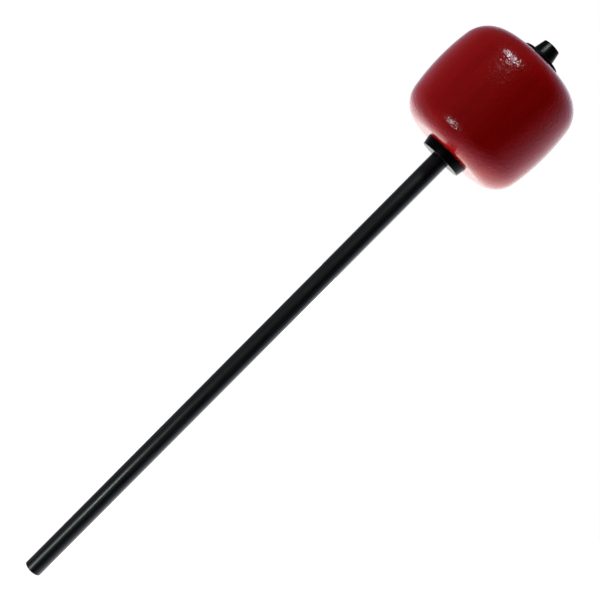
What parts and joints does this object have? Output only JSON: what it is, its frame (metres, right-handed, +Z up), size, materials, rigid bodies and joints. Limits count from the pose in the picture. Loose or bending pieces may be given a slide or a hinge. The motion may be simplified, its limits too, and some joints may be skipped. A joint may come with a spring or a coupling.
{
  "type": "bass drum beater",
  "caption": "Bass drum pedal beater: a gloss red turned wooden barrel head, clamped between a collar and a tapered nut on a straight black steel shaft.",
  "frame": {"origin": "centre of the shaft's lower end, the end that goes into the pedal's hub", "axes": "+Z up the shaft towards the head, as the beater stands in a pedal; +X along the driver slot in the nut's end; +Y square to both"},
  "size_m": [0.0466, 0.0466, 0.2397],
  "materials": {
    "black_shaft": "satin black coat on a drawn steel rod",
    "black_hardware": "satin black coat on turned steel",
    "red_lacquer": "gloss red lacquer with slight orange peel on turned hardwood"
  },
  "bodies": {
    "shaft_and_clamp": {"shaft": "black_shaft", "collar": "black_hardware", "top_washer": "black_hardware", "top_nut": "black_hardware"},
    "head": {"head": "red_lacquer"}
  },
  "joints": [
    {"name": "head_turn", "type": "hinge", "parent": "shaft_and_clamp", "child": "head", "pos_m": [0, 0, 0.2127], "axis": [0, 0, 1], "continuous": true}
  ]
}
